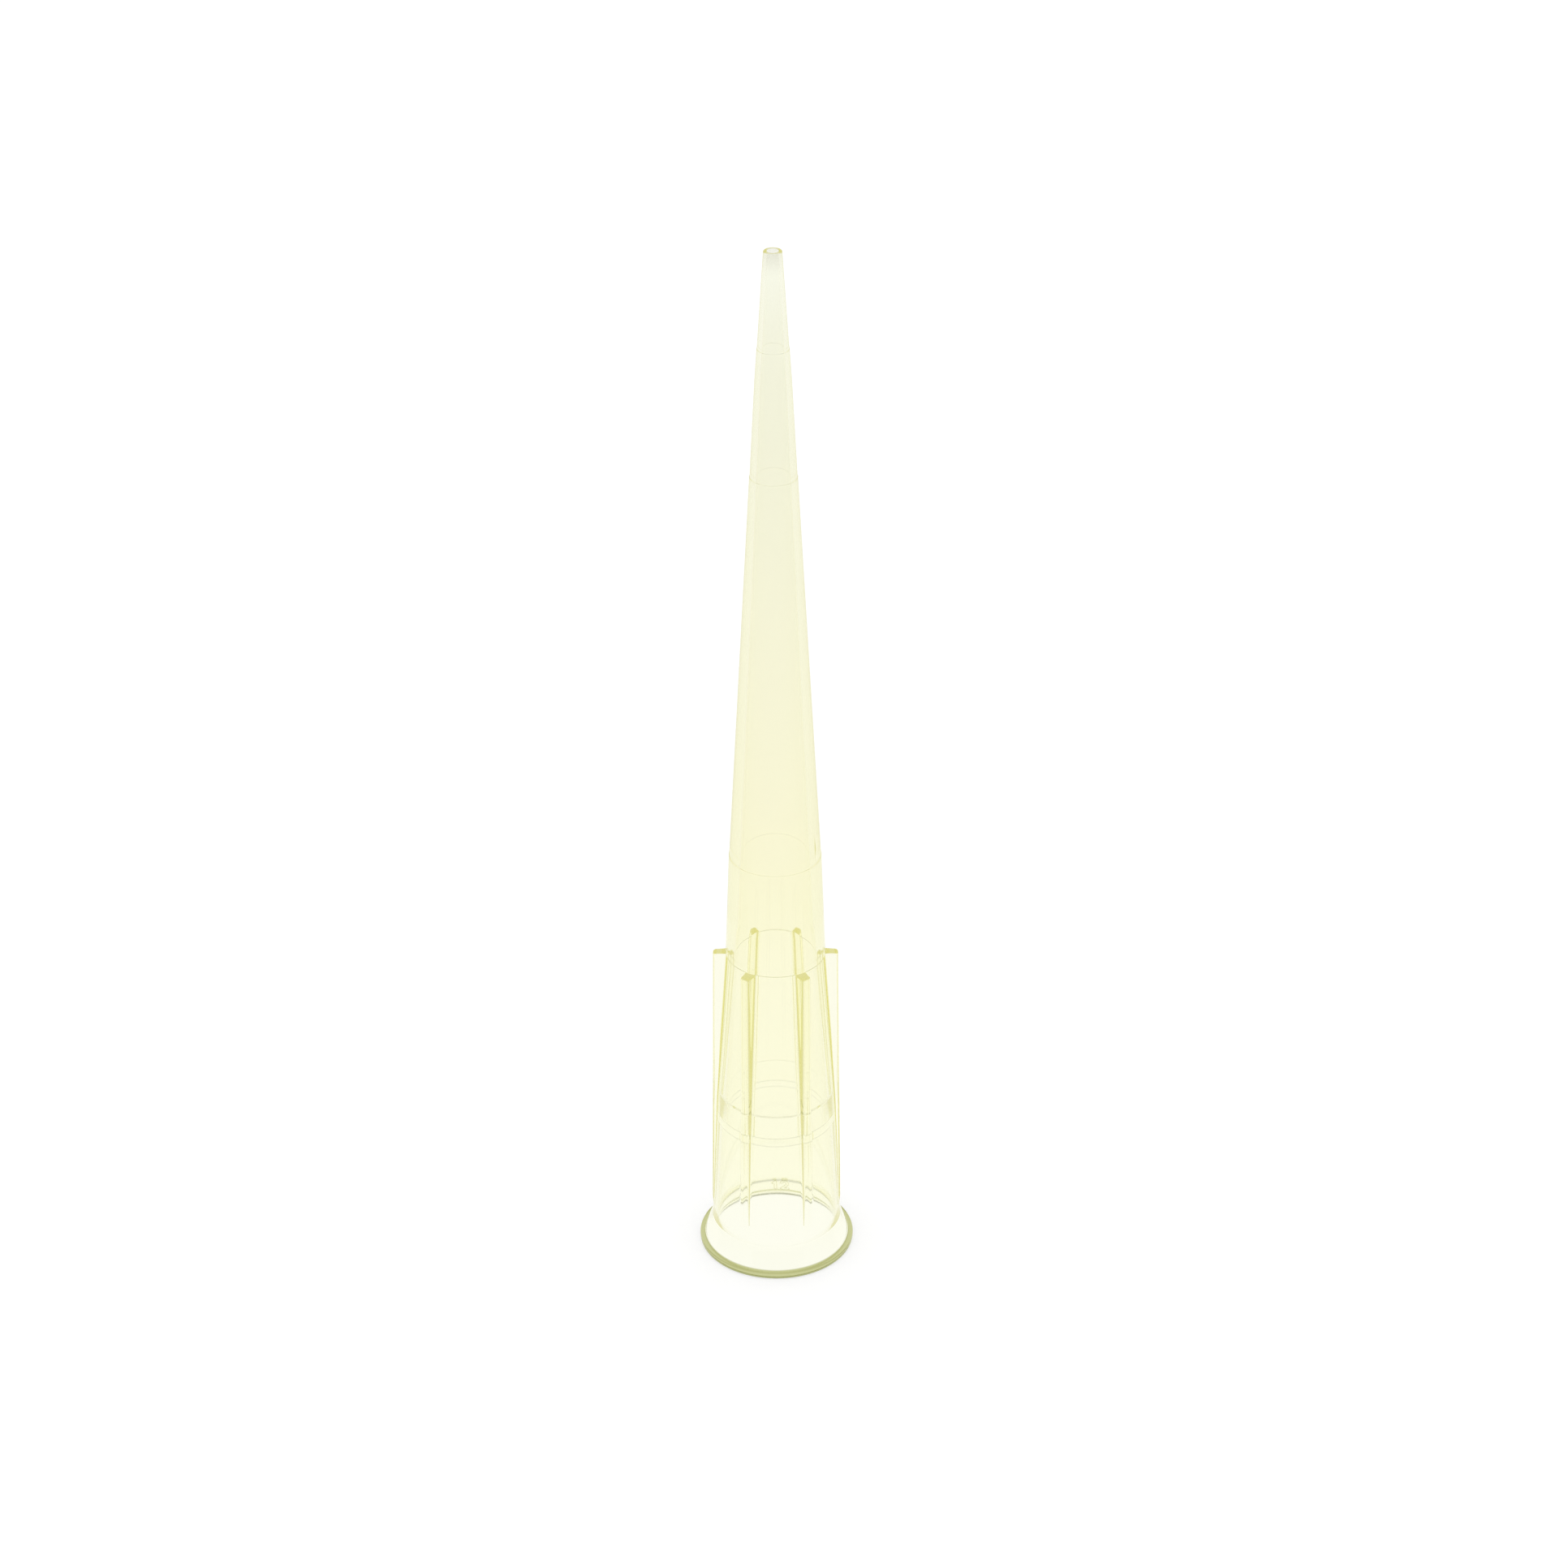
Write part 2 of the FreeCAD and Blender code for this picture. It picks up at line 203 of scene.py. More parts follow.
# The surroundings, as seen by light that was turned back in the plastic, by a share per turn.
TURN_SHARE = 0.1
TURNED_LIGHT = (
    (0.00, (1.0, 1.0, 1.0)),
    (0.05, (1.0, 1.0, 0.97)),
    (0.15, (0.945, 0.94, 0.82)),
    (0.25, (0.81, 0.79, 0.57)),
)
# The sky's own tint for light that was turned back at all.
SKY_TINT = (0.75, 0.76, 0.68)
SKY_TURNS = 0.5

# The floor and the camera, in metres and degrees.
FLOOR_HALF_WIDTH = 2.0
FLOOR_GREY = 0.5
FLOOR_GLOW = 0.575
SENSOR_WIDTH = 36
LENS = 88.336
CLIP_START = 0.005
CAMERA_PLACE = (0.000417, -0.152273, 0.1114)
CAMERA_PITCH = 29.53
CAMERA_ROLL = -0.159

# How finely the skin is divided, in steps round a rib's section and each arc.
SEAM = 5
SIDE_STEPS = 3
CORNER_STEPS = 6
CREST_STEPS = 2
ARC_STEPS = 30
ROUND_STEPS = 4
# The longest steps up the skirt, the hub, past the gate's stub, the cone and the bore.
SKIRT_END = 2.2
SKIRT_STEP = 0.08
HUB_STEP = 0.5
GATE_SPAN = 0.6
GATE_STEP = 0.1
CONE_STEP = 2.0
BORE_STEP = 2.5
# An arc takes up to a share of each edge it joins, and has a point a share of that beyond it.
# Corners with a half angle over the last figure, in degrees, are straight and have no arc.
ARC_SHARE = 0.45
SUPPORT_SHARE = 0.5
STRAIGHT_HALF_ANGLE = 89.5
# Points this close become one, heights this close are the same, and faces that meet at more
# than this angle keep a sharp edge.
WELD_DISTANCE = 0.0005
SAME_HEIGHT = 1e-4
SHARP_ANGLE = 32
# Cuts in each edge under a relief, and how far past its reach points are raised.
RELIEF_CUTS = 4
RELIEF_MARGIN = 1.1


def on_line(low, high, height):
    """Radius at a height on the straight line through two (radius, height) corners."""
    share = (height - low[1]) / (high[1] - low[1])
    return low[0] + (high[0] - low[0]) * share


def rounded(corners):
    """The closed outline through (radius, height, rounding) corners, with an arc at each."""
    outline = []
    for index, (radius, height, rounding) in enumerate(corners):
        here = Vector((radius, height))
        before = Vector(corners[index - 1][:2]) - here
        after = Vector(corners[(index + 1) % len(corners)][:2]) - here
        half_angle = before.angle(after) / 2
        if rounding == 0 or half_angle > math.radians(STRAIGHT_HALF_ANGLE):
            outline.append(tuple(here))
            continue
        longest = ARC_SHARE * min(before.length, after.length)
        reach = min(rounding / math.tan(half_angle), longest)
        arc_radius = reach * math.tan(half_angle)
        before.normalize()
        after.normalize()
        centre = here + (before + after).normalized() * arc_radius / math.sin(half_angle)
        start = here + before * reach - centre
        turn = start.angle_signed(here + after * reach - centre)
        support = SUPPORT_SHARE * reach
        outline.append(tuple(here + before * (reach + support)))
        for step in range(ROUND_STEPS + 1):
            spin = Matrix.Rotation(-turn * step / ROUND_STEPS, 2)
            outline.append(tuple(centre + spin @ start))
        outline.append(tuple(here + after * (reach + support)))
    return outline


def divided(outline, longest):
    """The outline with points added wherever two are further apart than the function allows."""
    fine = []
    for (r0, z0), (r1, z1) in zip(outline, outline[1:]):
        count = max(1, math.ceil(math.hypot(r1 - r0, z1 - z0) / longest((z0 + z1) / 2)))
        for step in range(count):
            share = step / count
            fine.append((r0 + (r1 - r0) * share, z0 + (z1 - z0) * share))
    fine.append(outline[-1])
    return fine


def root_fillet(radius, rounding):
    """Centre (out, across) of the fillet between the hub and a rib's side, and its first angle."""
    across = RIB_HALF_WIDTH + rounding
    out = math.sqrt((radius + rounding) ** 2 - across ** 2)
    return out, across, math.atan2(across, out) - math.pi


def seam_share():
    """How far along the fillet at the hub's top the cone's foot crosses it."""
    out, across, first = root_fillet(HUB_TOP_RADIUS, ROOT_ROUND)
    far = math.hypot(out, across)
    cosine = (CONE_FOOT_RADIUS ** 2 - far ** 2 - ROOT_ROUND ** 2) / (2 * far * ROOT_ROUND)
    crossing = math.atan2(across, out) - math.acos(cosine)
    return (crossing - first) / (-math.pi / 2 - first)


def rib_half(radius, crest, inset=0.0):
    """Half a rib's section, from its root to the middle of its crest, as (out, across) points.

    The point numbered SEAM is where the cone's foot meets the rib at the hub's top.
    """
    root = math.sqrt(radius ** 2 - RIB_HALF_WIDTH ** 2)
    rounding = min(CREST_ROUND, max(CREST_SHARE * (crest - root), LEAST_CREST_ROUND))
    shoulder = max(crest - rounding, root)
    fillet = max(min(ROOT_ROUND, ROOT_SHARE * (shoulder - root)), LEAST_ROOT_ROUND)
    out, across, first = root_fillet(radius, fillet)
    points = []
    for share in [SEAM_SHARE * step / SEAM for step in range(SEAM + 1)] + [1.0]:
        angle = first + (-math.pi / 2 - first) * share
        points.append((out + fillet * math.cos(angle), across + fillet * math.sin(angle)))
    for step in range(1, SIDE_STEPS):
        along = step / SIDE_STEPS
        points.append((out + (max(shoulder, out) - out) * along, RIB_HALF_WIDTH - inset * along))
    for step in range(CORNER_STEPS + 1):
        angle = math.pi / 2 * (1 - step / CORNER_STEPS)
        out = crest - rounding + (rounding - inset) * math.cos(angle)
        across = RIB_HALF_WIDTH - rounding + (rounding - inset) * math.sin(angle)
        points.append((out, across))
    for step in range(1, CREST_STEPS + 1):
        points.append((crest - inset, (RIB_HALF_WIDTH - rounding) * (1 - step / CREST_STEPS)))
    return points


SEAM_SHARE = seam_share()
HALF_COUNT = len(rib_half(HUB_TOP_RADIUS, RIB_TOP_RADIUS))
RIB_COLUMNS = 2 * HALF_COUNT - 1
SECTOR_COLUMNS = RIB_COLUMNS + ARC_STEPS - 1


def plain_share(column):
    """Where a rib's column lies on a ring without ribs: minus one and one at the two seams."""
    if column < SEAM:
        return -1 - (ROOT_SPREAD - 1) * (SEAM - column) / SEAM
    if column > RIB_COLUMNS - 1 - SEAM:
        return -plain_share(RIB_COLUMNS - 1 - column)
    return 2 * (column - SEAM) / (RIB_COLUMNS - 1 - 2 * SEAM) - 1


def ring(radius, height, crest=None, inset=0.0, seam_angle=None):
    """One section of the skin, as points that run counter-clockwise from rib 0's right root."""
    points = []
    sector = 2 * math.pi / RIB_COUNT
    if crest is not None:
        half = rib_half(radius, crest, inset)
        section = [(out, -across) for out, across in half] + half[-2::-1]
        root_angle = math.atan2(half[0][1], half[0][0])
    else:
        widest = max(radius, CONE_FOOT_RADIUS)
        seam_angle = seam_angle or math.asin(RIB_HALF_WIDTH / widest)
        root_angle = seam_angle * ROOT_SPREAD
    for rib in range(RIB_COUNT):
        middle = rib * sector
        for column in range(RIB_COLUMNS):
            if crest is None:
                angle = middle + seam_angle * plain_share(column)
                reach = radius
            else:
                out, across = section[column]
                angle = middle + math.atan2(across, out)
                reach = max(math.hypot(out, across), radius)
            points.append((reach * math.cos(angle), reach * math.sin(angle), height))
        for step in range(1, ARC_STEPS):
            angle = middle + root_angle + (sector - 2 * root_angle) * step / ARC_STEPS
            points.append((radius * math.cos(angle), radius * math.sin(angle), height))
    return points


class Skin:
    """A closed surface that is put together ring by ring."""

    def __init__(self):
        self.points = []
        self.faces = []

    def add(self, points):
        """New points' indices."""
        first = len(self.points)
        self.points.extend(points)
        return list(range(first, len(self.points)))

    def face(self, *corners):
        """A face without the corners that fall on their neighbours."""
        kept = [corner for index, corner in enumerate(corners) if corner != corners[index - 1]]
        if len(kept) > 2:
            self.faces.append(kept)

    def bridge(self, lower, upper):
        """Faces between two rings."""
        for column in range(len(lower)):
            after = (column + 1) % len(lower)
            self.face(lower[column], lower[after], upper[after], upper[column])


def mark_corners(edge):
    """The two corners of a volume mark: the cone's surface steps in above it."""
    radius, height = edge
    return [(radius, height, MARK_ROUND), (radius - MARK_STEP, height, MARK_ROUND)]


def outside_corners():
    """The outside from the lip to the hub's top, and from the cone's foot to the point."""
    large = (on_line(CHAMBER_FOOT, CHAMBER_BEND, LARGE_MARK) + CONE_WALL, LARGE_MARK)
    middle = (on_line(large, CONE_BEND, MIDDLE_MARK), MIDDLE_MARK)
    small = (on_line(CONE_BEND, (POINT_RADIUS, TIP_LENGTH), SMALL_MARK), SMALL_MARK)
    corners = [(MOUTH_RADIUS, 0, EDGE_ROUND), (LIP_RADIUS, 0, EDGE_ROUND)]
    corners += [(LIP_RADIUS, LIP_HEIGHT, EDGE_ROUND), (SKIRT_RADIUS, LIP_HEIGHT, LIP_TOP_ROUND)]
    corners += [(HUB_FOOT_RADIUS, HUB_FOOT, SKIRT_BEND_ROUND), (*HUB_MIDDLE, 0)]
    corners += [(HUB_TOP_RADIUS, HUB_TOP, 0), (CONE_FOOT_RADIUS, HUB_TOP, CONE_FOOT_ROUND)]
    corners += mark_corners(large) + mark_corners(middle)
    corners += [(*CONE_BEND, 0)]
    corners += mark_corners(small)
    corners += [(POINT_RADIUS, TIP_LENGTH, POINT_ROUND)]
    corners += [(ORIFICE_RADIUS, TIP_LENGTH, ORIFICE_ROUND)]
    return corners


def bore_corners():
    """The bore from the point down to the mouth."""
    chamber = CHAMBER_FOOT[1] + SHOULDER_BLEND
    socket = SOCKET_END[1] - SHOULDER_BLEND
    corners = [(*CHAMBER_BEND, 0)]
    corners += [(on_line(CHAMBER_FOOT, CHAMBER_BEND, chamber), chamber, SHOULDER_ROUND)]
    corners += [(on_line(LEDGE_END, SOCKET_END, socket), socket, SHOULDER_ROUND)]
    corners += [(*LEDGE_END, LEDGE_ROUND), (*LAND_END, LEDGE_ROUND)]
    corners += [(*LAND_START, LEAD_IN_ROUND), (*LEAD_IN, LEAD_IN_ROUND)]
    corners += [(BORE_FOOT_RADIUS, BORE_FOOT, BORE_FOOT_ROUND)]
    return corners


def longest_outside(height):
    """How long a step up the outside may be."""
    if height < SKIRT_END:
        return SKIRT_STEP
    if height < HUB_TOP:
        return HUB_STEP
    if abs(height - GATE_HEIGHT) < GATE_SPAN:
        return GATE_STEP
    return CONE_STEP


def hub_rings(skin, outline):
    """Rings up the hub, with the ribs from their ends to their rounded tops."""
    rings = []
    for radius, height in outline:
        if height > HUB_TOP - RIB_TOP_REACH:
            continue
        crest = None
        if height > RIB_END:
            fade = min(1.0, (height - RIB_END) / RIB_FADE)
            crest = max(on_line(*RIB_CREST_LINE, height), radius + RIB_FOOT_DEPTH * fade)
        rings.append(skin.add(ring(radius, height, crest)))
    levels = [(HUB_TOP - RIB_TOP_SUPPORT, 0.0)]
    for step in range(ROUND_STEPS + 1):
        turn = math.pi / 2 * step / ROUND_STEPS
        height = HUB_TOP - RIB_TOP_ROUND * (1 - math.sin(turn))
        levels.append((height, RIB_TOP_ROUND * (1 - math.cos(turn))))
    for height, inset in levels:
        radius = on_line(HUB_MIDDLE, (HUB_TOP_RADIUS, HUB_TOP), height)
        rings.append(skin.add(ring(radius, height, on_line(*RIB_CREST_LINE, height), inset)))
    return rings


def cone_foot_ring(skin, hub_top):
    """The ring that the cone stands on. At the seams it shares its points with the hub's top."""
    out, across = rib_half(HUB_TOP_RADIUS, RIB_TOP_RADIUS)[SEAM]
    foot = skin.add(ring(CONE_FOOT_RADIUS, HUB_TOP, seam_angle=math.atan2(across, out)))
    for rib in range(RIB_COUNT):
        for column in (SEAM, RIB_COLUMNS - 1 - SEAM):
            place = rib * SECTOR_COLUMNS + column
            foot[place] = hub_top[place]
    return foot


def tip_skin():
    """The whole tip's skin, from the mouth over the outside to the point, and down the bore."""
    skin = Skin()
    loop = rounded(outside_corners() + bore_corners())
    heights = [height for radius, height in loop]
    top = next(i for i, height in enumerate(heights) if abs(height - HUB_TOP) < SAME_HEIGHT)
    point = max(range(len(loop)), key=lambda i: (loop[i][1], -loop[i][0]))
    hub = divided(loop[:top + 1], longest_outside)
    cone = divided(loop[top + 1:point + 1], longest_outside)
    bore = divided(loop[point:] + loop[:1], lambda height: BORE_STEP)
    above_foot = [(radius, height) for radius, height in cone if height >= HUB_TOP + SAME_HEIGHT]
    rings = hub_rings(skin, hub[:-1])
    rings.append(cone_foot_ring(skin, rings[-1]))
    for radius, height in above_foot + bore[1:-1]:
        rings.append(skin.add(ring(radius, height)))
    for lower, upper in zip(rings, rings[1:] + rings[:1]):
        skin.bridge(lower, upper)
    return skin


def stub_relief(across, up):
    """Height of the gate's stub at a place measured from its middle: a low disc, torn hollow."""
    away = math.hypot(across, up)
    disc = min(1.0, max(0.0, (GATE_RADIUS - away) / GATE_EDGE))
    hollow = GATE_HOLLOW * max(0.0, 1.0 - away / GATE_HOLLOW_RADIUS) ** 2
    return (GATE_DEPTH - hollow) * disc * disc * (3 - 2 * disc)


def number_relief(across, up):
    """Height of the cavity number's strokes at a place measured from its middle."""
    nearest = 1.0
    for line in NUMBER_LINES:
        for (x0, z0), (x1, z1) in zip(line, line[1:]):
            squared = (x1 - x0) ** 2 + (z1 - z0) ** 2
            share = ((across - x0) * (x1 - x0) + (up - z0) * (z1 - z0)) / squared
            share = min(1.0, max(0.0, share))
            nearest = min(nearest, math.hypot(
                across - x0 - (x1 - x0) * share, up - z0 - (z1 - z0) * share))
    rise = min(1.0, max(0.0, (NUMBER_STROKE - nearest) / NUMBER_EDGE))
    return NUMBER_DEPTH * rise * rise * (3 - 2 * rise)


def raise_relief(shape, angle, height, reach, relief):
    """Divide the skin's outside round a place finely, and raise it by a relief."""
    def place(point):
        turn = math.atan2(point.y, point.x) - angle
        turn = (turn + math.pi) % (2 * math.pi) - math.pi
        return turn * math.hypot(point.x, point.y), point.z - height

    def outer_faces(share):
        for face in shape.faces:
            middle = face.calc_center_median()
            across, up = place(middle)
            is_near = abs(across) < reach[0] * share and abs(up) < reach[1] * share
            if is_near and middle.xy.dot(face.normal.xy) > 0:
                yield face

    edges = list({edge for face in outer_faces(1.0) for edge in face.edges})
    bmesh.ops.subdivide_edges(shape, edges=edges, cuts=RELIEF_CUTS, use_grid_fill=True)
    shape.normal_update()
    for vert in {vert for face in outer_faces(RELIEF_MARGIN) for vert in face.verts}:
        out = Vector((vert.co.x, vert.co.y, 0)).normalized()
        vert.co += out * relief(*place(vert.co))


def make_piece(name, skin, material):
    """A mesh object in metres from a skin, shaded smooth but for its sharp edges."""
    mesh = bpy.data.meshes.new(name)
    used = sorted({corner for face in skin.faces for corner in face})
    place = {old: new for new, old in enumerate(used)}
    mesh.from_pydata(
        [skin.points[i] for i in used], [],
        [[place[corner] for corner in face] for face in skin.faces])
    shape = bmesh.new()
    shape.from_mesh(mesh)
    bmesh.ops.remove_doubles(shape, verts=shape.verts, dist=WELD_DISTANCE)
    shape.normal_update()
    raise_relief(shape, math.radians(GATE_ANGLE), GATE_HEIGHT, GATE_REACH, stub_relief)
    raise_relief(shape, math.radians(NUMBER_ANGLE), NUMBER_HEIGHT, NUMBER_REACH, number_relief)
    bmesh.ops.scale(shape, vec=(MM, MM, MM), verts=shape.verts)
    shape.to_mesh(mesh)
    shape.free()
    mesh.validate()
    mesh.materials.append(material)
    mesh.shade_smooth()
    mesh.set_sharp_from_angle(angle=math.radians(SHARP_ANGLE))
    piece = bpy.data.objects.new(name, mesh)
    bpy.context.scene.collection.objects.link(piece)
    return piece


def node(tree, kind, **values):
    """A shader node with its sockets and properties set."""
    made = tree.nodes.new(kind)
    for key, value in values.items():
        if key in made.inputs:
            made.inputs[key].default_value = value
        else:
            setattr(made, key, value)
    return made


def calc(tree, operation, *values):
    """Output of a math node whose inputs are numbers or other nodes' outputs."""
    made = node(tree, "ShaderNodeMath", operation=operation)
    for socket, value in zip(made.inputs, values):
        if isinstance(value, (int, float)):
            socket.default_value = value
        else:
            tree.links.new(value, socket)
    return made.outputs[0]


def ramp(tree, value, stops, interpolation="LINEAR"):
    """Colour output of a ramp with (position, colour) stops."""
    made = tree.nodes.new("ShaderNodeValToRGB")
    made.color_ramp.interpolation = interpolation
    elements = made.color_ramp.elements
    while len(elements) < len(stops):
        elements.new(1.0)
    for element, (position, colour) in zip(elements, stops):
        element.position = position
        element.color = (*colour, 1)
    tree.links.new(value, made.inputs[0])
    return made.outputs["Color"]


def darkened(tree, colour, strength, tint):
    """The colour, times a tint where strength is one."""
    made = node(tree, "ShaderNodeMix", data_type="RGBA", blend_type="MULTIPLY")
    made.inputs[7].default_value = (*tint, 1)
    tree.links.new(strength, made.inputs[0])
    tree.links.new(colour, made.inputs[6])
    return made.outputs[2]


def mixed(tree, share, first, second):
    """The first shader, or the second where the share is one."""
    made = tree.nodes.new("ShaderNodeMixShader")
    tree.links.new(share, made.inputs[0])
    tree.links.new(first.outputs[0], made.inputs[1])
    tree.links.new(second.outputs[0], made.inputs[2])
    return made.outputs[0]


def spread(tree, value, start, full):
    """Zero where the value is at or before the start, one where it is full, smooth between."""
    made = node(tree, "ShaderNodeMapRange", interpolation_type="SMOOTHSTEP")
    made.inputs["From Min"].default_value = start
    made.inputs["From Max"].default_value = full
    tree.links.new(value, made.inputs["Value"])
    return made.outputs[0]


def line_at(tree, value, middle, half_width):
    """One where the value is at the middle, zero half a width away."""
    away = calc(tree, "ABSOLUTE", calc(tree, "SUBTRACT", value, middle))
    return calc(tree, "SUBTRACT", 1.0, spread(tree, away, 0.0, half_width))


def product(tree, *values):
    """Output of the values multiplied together."""
    total = values[0]
    for value in values[1:]:
        total = calc(tree, "MULTIPLY", total, value)
    return total


def plastic_tint_and_painted_shade(tree):
    """The plastic's tint, darker up the cone, with painted shade: a dark lip and a line at each
    edge.
    """
    place = tree.nodes.new("ShaderNodeTexCoord")
    parts = tree.nodes.new("ShaderNodeSeparateXYZ")
    tree.links.new(place.outputs["Object"], parts.inputs[0])
    height = calc(tree, "DIVIDE", parts.outputs["Z"], MM)
    across = calc(tree, "ADD", product(tree, parts.outputs["X"], parts.outputs["X"]),
                  product(tree, parts.outputs["Y"], parts.outputs["Y"]))
    radius = calc(tree, "DIVIDE", calc(tree, "SQRT", across), MM)
    leaving = tree.nodes.new("ShaderNodeNewGeometry").outputs["Backfacing"]
    entering = calc(tree, "SUBTRACT", 1.0, leaving)
    colour = ramp(tree, calc(tree, "DIVIDE", height, TIP_LENGTH), PLASTIC_TINTS)

    # Painted shade: the lip, its foot and its end face are darkened in the tint, for the shade that
    # refraction in the thick rim draws.
    lip = product(tree, spread(tree, radius, *LIP_SIDE_FADE), entering,
                  spread(tree, height, *LIP_TOP_FADE))
    colour = darkened(tree, colour, lip, LIP_PAINTED_SHADE)
    foot = product(tree, lip, spread(tree, height, *LIP_FOOT_FADE))
    colour = darkened(tree, colour, foot, LIP_FOOT_PAINTED_SHADE)
    end = product(tree, line_at(tree, radius, LIP_END_MIDDLE, LIP_END_HALF_WIDTH), leaving,
                  spread(tree, height, *LIP_END_FADE))
    colour = darkened(tree, colour, end, LIP_END_PAINTED_SHADE)

    # Painted shade: dark lines in the tint at the heights of the bore's edges.
    middle_wall = calc(tree, "MULTIPLY_ADD", height, WALL_SLOPE, WALL_FOOT)
    bore = calc(tree, "LESS_THAN", radius, middle_wall)
    for edge, half_width, tint, only_entering in BORE_PAINTED_SHADE_LINES:
        line = product(tree, line_at(tree, height, edge, half_width), bore)
        if only_entering:
            line = product(tree, line, entering)
        colour = darkened(tree, colour, line, tint)
    # Painted shade: the dark line of the mouth's inner edge.
    mouth = product(tree, spread(tree, radius, *MOUTH_SIDE_FADE), entering,
                    spread(tree, height, *MOUTH_LINE_FADE))
    return darkened(tree, colour, mouth, MOUTH_LINE_PAINTED_SHADE)


def surface_detail(tree, shader):
    """Flow lines that run up the moulding, and a gloss that varies in soft patches."""
    place = tree.nodes.new("ShaderNodeTexCoord")
    stretched = node(tree, "ShaderNodeMapping", Scale=(1, 1, FLOW_STRETCH))
    tree.links.new(place.outputs["Object"], stretched.inputs[0])
    flow = node(tree, "ShaderNodeTexNoise", Scale=FLOW_SCALE, Detail=FLOW_DETAIL)
    tree.links.new(stretched.outputs[0], flow.inputs["Vector"])
    bump = node(tree, "ShaderNodeBump", Strength=FLOW_STRENGTH, Distance=FLOW_HEIGHT)
    tree.links.new(flow.outputs[0], bump.inputs["Height"])
    tree.links.new(bump.outputs[0], shader.inputs["Normal"])
    patches = node(tree, "ShaderNodeTexNoise", Scale=PATCH_SCALE, Detail=PATCH_DETAIL)
    tree.links.new(place.outputs["Object"], patches.inputs["Vector"])
    gloss = tree.nodes.new("ShaderNodeMapRange")
    gloss.inputs["From Min"].default_value, gloss.inputs["From Max"].default_value = PATCH_RANGE
    gloss.inputs["To Min"].default_value, gloss.inputs["To Max"].default_value = ROUGHNESS
    tree.links.new(patches.outputs[0], gloss.inputs["Value"])
    tree.links.new(gloss.outputs[0], shader.inputs["Roughness"])


def plastic():
    """Clear polypropylene with a yellow cast that deepens with its thickness, and painted shade in
    its tint.
    """
    material = bpy.data.materials.new("tip_plastic")
    material.use_nodes = True
    tree = material.node_tree
    shader = tree.nodes["Principled BSDF"]
    shader.inputs["IOR"].default_value = PLASTIC_IOR
    shader.inputs["Transmission Weight"].default_value = 1.0
    tree.links.new(plastic_tint_and_painted_shade(tree), shader.inputs["Base Color"])
    surface_detail(tree, shader)
    # The renderer ends long paths in black, so light that bounced too often goes straight on.
    path = tree.nodes.new("ShaderNodeLightPath")
    turned = calc(tree, "GREATER_THAN", path.outputs["Glossy Depth"], MOST_TURNS)
    bounced = calc(tree, "GREATER_THAN", path.outputs["Ray Depth"], MOST_BOUNCES)
    straight = calc(tree, "MAXIMUM", turned, bounced)
    clear = tree.nodes.new("ShaderNodeBsdfTransparent")
    output = tree.nodes["Material Output"]
    tree.links.new(mixed(tree, straight, shader, clear), output.inputs["Surface"])
    absorption = tree.nodes.new("ShaderNodeVolumeAbsorption")
    absorption.inputs["Color"].default_value = (*ABSORPTION_COLOUR, 1)
    absorption.inputs["Density"].default_value = ABSORPTION_DENSITY
    tree.links.new(absorption.outputs[0], output.inputs["Volume"])
    return material


def seen_light(tree, path):
    """Colour of the surroundings: darker to light that the plastic has turned back."""
    turns = calc(tree, "MULTIPLY", path.outputs["Glossy Depth"], TURN_SHARE)
    return ramp(tree, turns, TURNED_LIGHT, "CONSTANT")


def light_world():
    """A white world, greyer to light that the plastic has turned back."""
    world = bpy.data.worlds.new("studio")
    bpy.context.scene.world = world
    world.use_nodes = True
    tree = world.node_tree
    path = tree.nodes.new("ShaderNodeLightPath")
    seen = seen_light(tree, path)
    turned = calc(tree, "GREATER_THAN", path.outputs["Glossy Depth"], SKY_TURNS)
    seen = darkened(tree, seen, turned, SKY_TINT)
    tree.links.new(seen, tree.nodes["Background"].inputs["Color"])


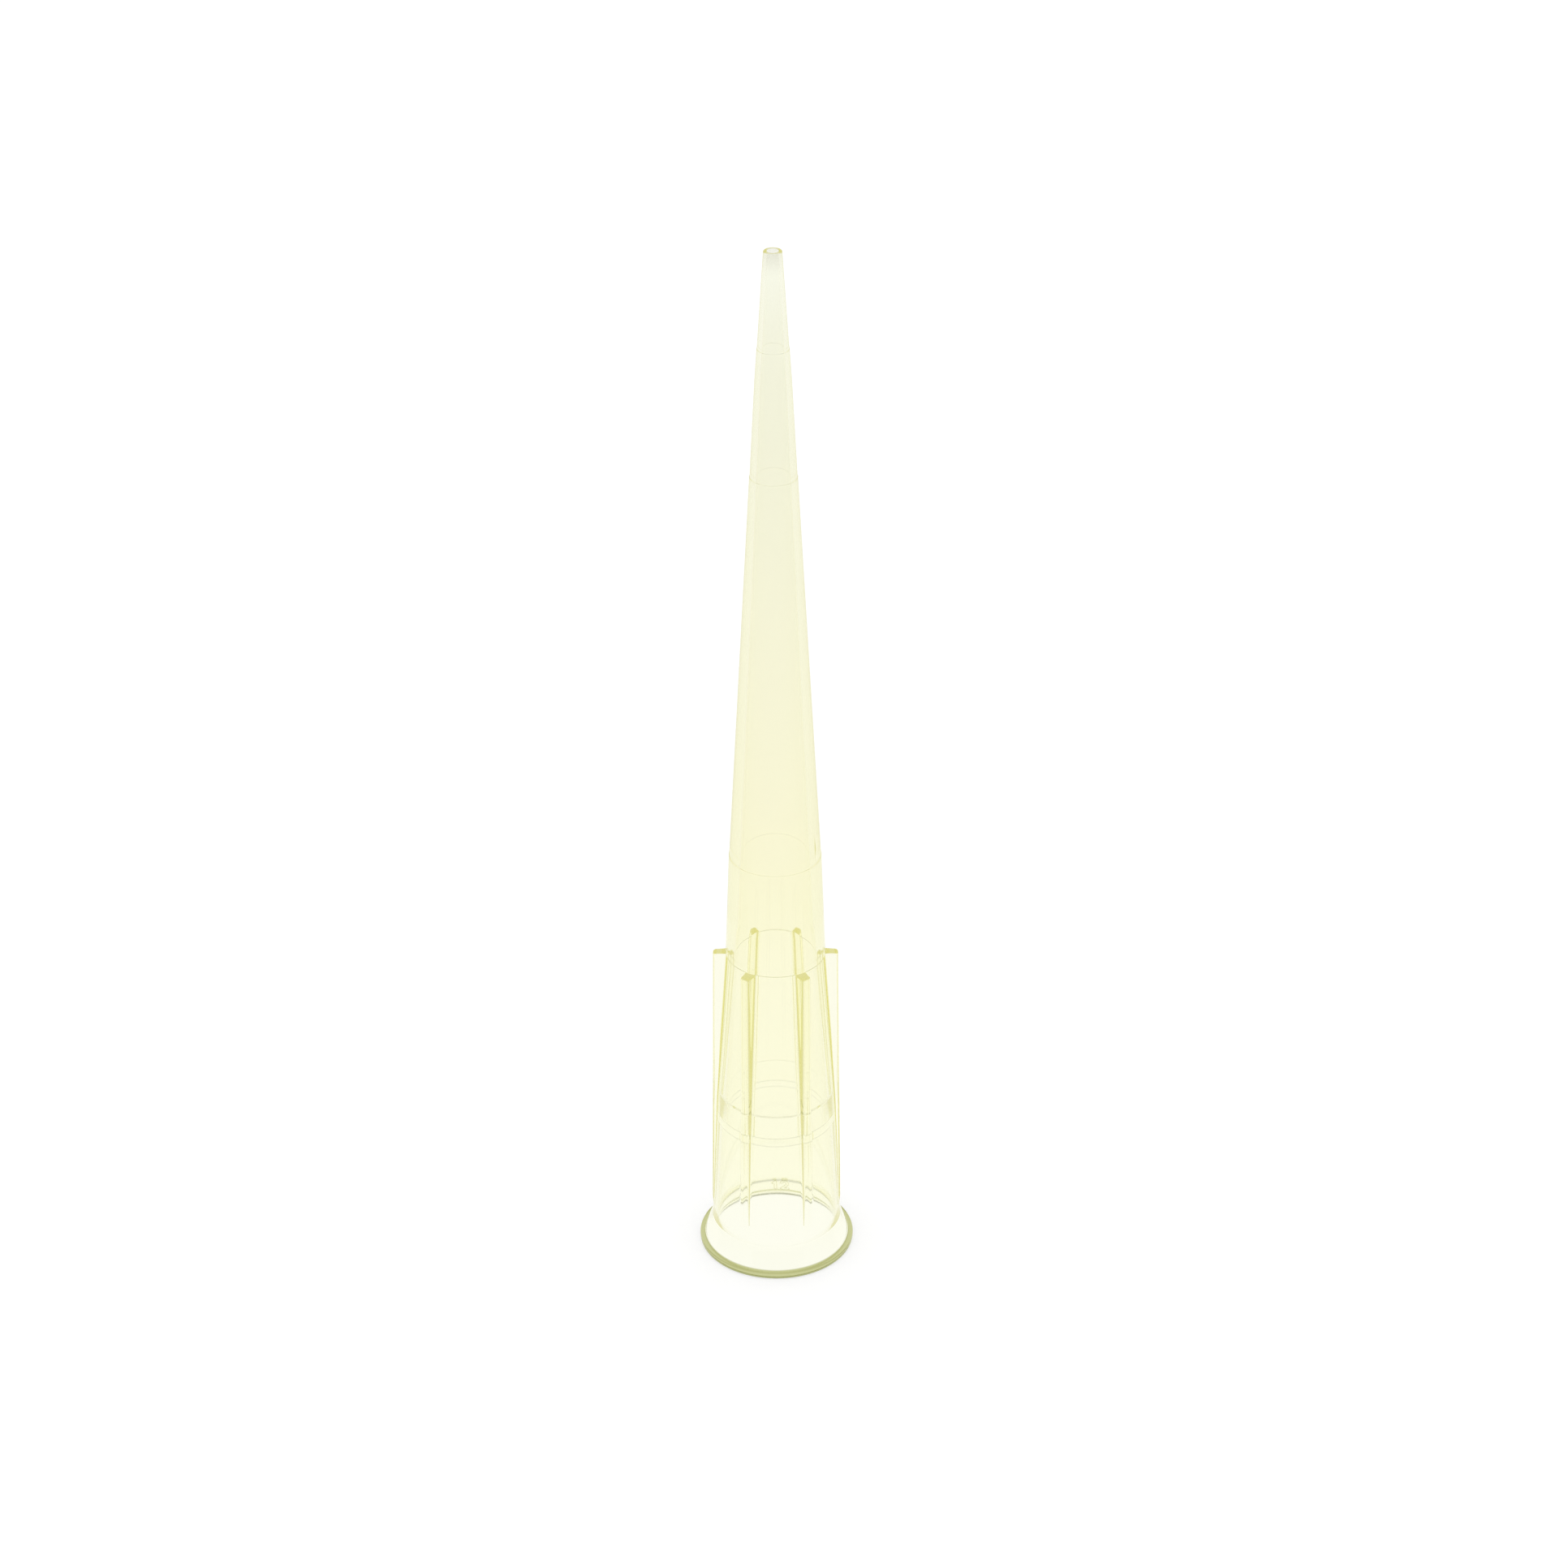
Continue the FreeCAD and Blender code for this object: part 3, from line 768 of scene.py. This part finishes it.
def floor_material():
    """A matt floor that glows a little. Through the plastic it is as light as the world."""
    material = bpy.data.materials.new("floor")
    material.use_nodes = True
    tree = material.node_tree
    shader = tree.nodes["Principled BSDF"]
    shader.inputs["Base Color"].default_value = (FLOOR_GREY, FLOOR_GREY, FLOOR_GREY, 1)
    shader.inputs["Roughness"].default_value = 1.0
    shader.inputs["Specular IOR Level"].default_value = 0.0
    shader.inputs["Emission Color"].default_value = (1, 1, 1, 1)
    shader.inputs["Emission Strength"].default_value = FLOOR_GLOW
    glow = tree.nodes.new("ShaderNodeEmission")
    path = tree.nodes.new("ShaderNodeLightPath")
    tree.links.new(seen_light(tree, path), glow.inputs["Color"])
    through = calc(
        tree, "MAXIMUM", path.outputs["Is Transmission Ray"], path.outputs["Is Glossy Ray"])
    output = tree.nodes["Material Output"]
    tree.links.new(mixed(tree, through, shader, glow), output.inputs["Surface"])
    return material


def lay_floor():
    """A large flat floor under the tip."""
    mesh = bpy.data.meshes.new("floor")
    half = FLOOR_HALF_WIDTH
    corners = [(-half, -half, 0), (half, -half, 0), (half, half, 0), (-half, half, 0)]
    mesh.from_pydata(corners, [], [(0, 1, 2, 3)])
    mesh.materials.append(floor_material())
    floor = bpy.data.objects.new("floor", mesh)
    bpy.context.scene.collection.objects.link(floor)


def aim_camera():
    """The photograph's viewpoint: a long lens a little above the tip, looking down at it."""
    data = bpy.data.cameras.new("camera")
    data.sensor_width = SENSOR_WIDTH
    data.lens = LENS
    data.clip_start = CLIP_START
    camera = bpy.data.objects.new("camera", data)
    bpy.context.scene.collection.objects.link(camera)
    place = Matrix.Translation(CAMERA_PLACE)
    tilt = Matrix.Rotation(math.radians(90 - CAMERA_PITCH), 4, "X")
    roll = Matrix.Rotation(math.radians(CAMERA_ROLL), 4, "Z")
    camera.matrix_world = place @ tilt @ roll
    bpy.context.scene.camera = camera


bpy.context.scene.view_settings.view_transform = "Standard"
aim_camera()
light_world()
lay_floor()
tip = make_piece("tip", tip_skin(), plastic())
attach(tip, "root")
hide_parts(NODE)
